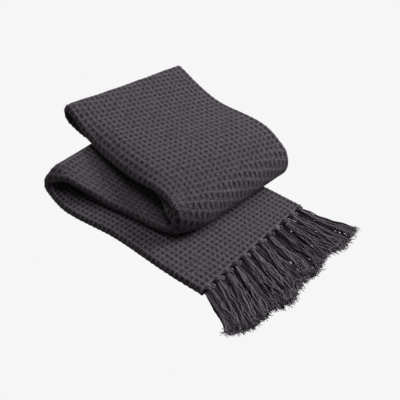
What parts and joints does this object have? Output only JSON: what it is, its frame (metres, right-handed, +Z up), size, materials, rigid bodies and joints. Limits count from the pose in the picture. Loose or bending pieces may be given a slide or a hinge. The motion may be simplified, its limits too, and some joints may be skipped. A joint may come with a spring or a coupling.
{
  "type": "folded waffle weave throw",
  "caption": "Cotton waffle weave throw blanket with a knotted fringe, folded in four lengthwise and then back and forth into a loose, turned stack.",
  "frame": {"origin": "middle of the bounding box on the surface that the throw rests on", "axes": "+Z up; +Y along the lowest run of the folded cloth, away from its fringed end; +X towards the side with the selvedges"},
  "size_m": [0.5494, 0.6852, 0.1098],
  "materials": {
    "cloth": "matte dark charcoal cotton in a waffle weave",
    "yarn": "matte dark charcoal loose cotton yarn"
  },
  "bodies": {
    "root": {"blanket": "cloth", "fringe": "yarn"}
  },
  "joints": []
}
